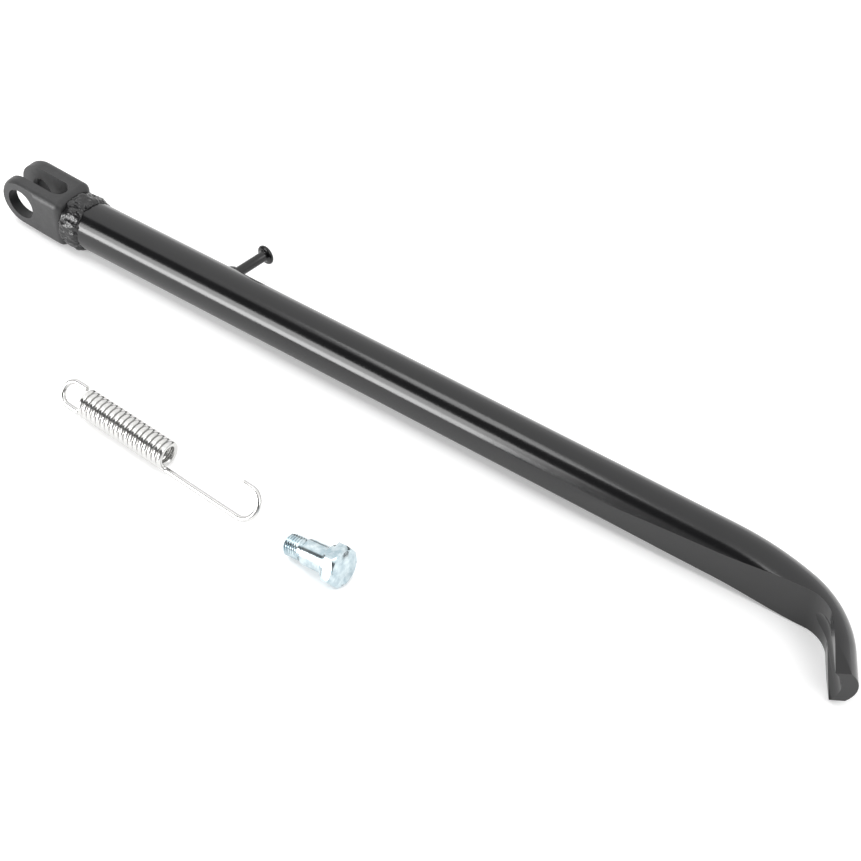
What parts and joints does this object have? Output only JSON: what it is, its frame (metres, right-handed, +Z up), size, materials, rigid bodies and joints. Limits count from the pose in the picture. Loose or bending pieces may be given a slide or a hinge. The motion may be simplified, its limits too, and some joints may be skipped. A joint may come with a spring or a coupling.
{
  "type": "motorcycle side stand kit",
  "caption": "Welded tube leg with a forked pivot and a bent, cupped foot, laid out with its return spring and shoulder bolt.",
  "frame": {"origin": "pivot axis in the leg's middle plane, between the clevis ears", "axes": "+X along the leg from the pivot to the foot, +Y along the pivot axis away from the bolt-head side, +Z up as the kit lies on a bench"},
  "size_m": [0.4782, 0.1409, 0.028],
  "materials": {
    "black_coat": "gloss black powder coat on steel",
    "spring_wire": "bright zinc plated spring wire",
    "zinc_bolt": "blue-white zinc plate on turned steel"
  },
  "bodies": {
    "stand": {"leg_tube": "black_coat", "pivot_clevis": "black_coat", "clevis_weld": "black_coat", "spring_post": "black_coat", "spring_post_weld": "black_coat"},
    "return_spring": {"spring_coil": "spring_wire"},
    "spring_arm_end": {"spring_arm": "spring_wire"},
    "pivot_bolt_body": {"pivot_bolt": "zinc_bolt"}
  },
  "joints": [
    {"name": "spring_lift", "type": "slide", "parent": "stand", "child": "return_spring", "axis": [0, 0, 1], "range_m": [0, 0.06]},
    {"name": "spring_stretch", "type": "slide", "parent": "return_spring", "child": "spring_arm_end", "axis": [0.9981, -0.061, 0], "range_m": [0, 0.015], "stiffness_N_per_m": 1000, "deforming": ["spring_coil"]},
    {"name": "bolt_lift", "type": "slide", "parent": "stand", "child": "pivot_bolt_body", "axis": [0, 0, 1], "range_m": [0, 0.05]}
  ]
}
